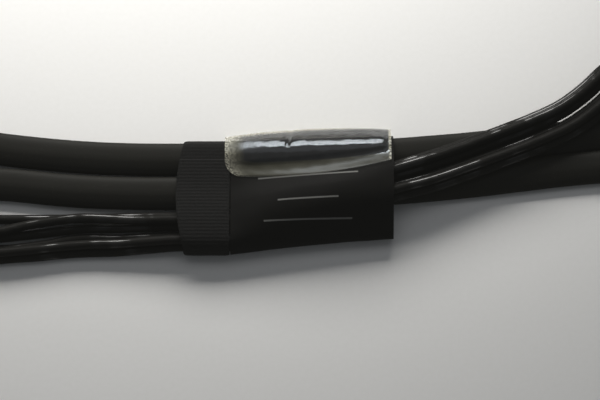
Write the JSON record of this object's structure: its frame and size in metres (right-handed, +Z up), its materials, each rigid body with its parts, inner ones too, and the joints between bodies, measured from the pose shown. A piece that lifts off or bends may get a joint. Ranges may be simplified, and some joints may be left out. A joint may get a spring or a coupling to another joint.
{
  "type": "drive cable",
  "caption": "Internal drive cable harness: flat data cables and thin power wires in a ribbed woven band and a label sleeve, with drive plugs at one end and board and power plugs at the other.",
  "frame": {"origin": "on the table under the middle of the wrapped section", "axes": "+X along the harness, towards the board and power plugs; +Y across it, towards the flat cables; +Z up from the table"},
  "size_m": [0.3504, 0.0591, 0.0116],
  "materials": {
    "woven_band": "ribbed tape, dull",
    "label": "satin black film",
    "clear_film": "clear, glossy, slightly yellow",
    "flat_jacket": "smooth, satin",
    "wire_jacket": "smooth, glossy",
    "plug_plastic": "fine grained",
    "plug_moulding": "soft matte",
    "contact_metal": "gold plated",
    "spring_steel": "bright"
  },
  "bodies": {
    "root": {"ribbed_band": "woven_band", "label_sleeve": "label", "clear_label_tail": "clear_film", "data_cable_1": "flat_jacket", "data_cable_2": "flat_jacket", "power_wire_1": "wire_jacket", "power_wire_2": "wire_jacket", "power_wire_3": "wire_jacket", "power_wire_4": "wire_jacket", "power_wire_5": "wire_jacket", "power_wire_6": "wire_jacket", "drive_plug_1_body": "plug_plastic", "drive_plug_1_cap": "plug_moulding", "drive_plug_1_data_contacts": "contact_metal", "drive_plug_1_power_contacts": "contact_metal", "drive_plug_2_body": "plug_plastic", "drive_plug_2_cap": "plug_moulding", "drive_plug_2_data_contacts": "contact_metal", "drive_plug_2_power_contacts": "contact_metal", "board_plug_1_relief": "plug_moulding", "board_plug_1_body": "plug_plastic", "board_plug_1_latch": "spring_steel", "board_plug_1_contacts": "contact_metal", "board_plug_2_relief": "plug_moulding", "board_plug_2_body": "plug_plastic", "board_plug_2_latch": "spring_steel", "board_plug_2_contacts": "contact_metal", "power_plug_housing": "plug_plastic", "power_plug_socket_1": "contact_metal", "power_plug_socket_2": "contact_metal", "power_plug_socket_3": "contact_metal", "power_plug_socket_4": "contact_metal", "power_plug_socket_5": "contact_metal", "power_plug_socket_6": "contact_metal"}
  },
  "joints": []
}
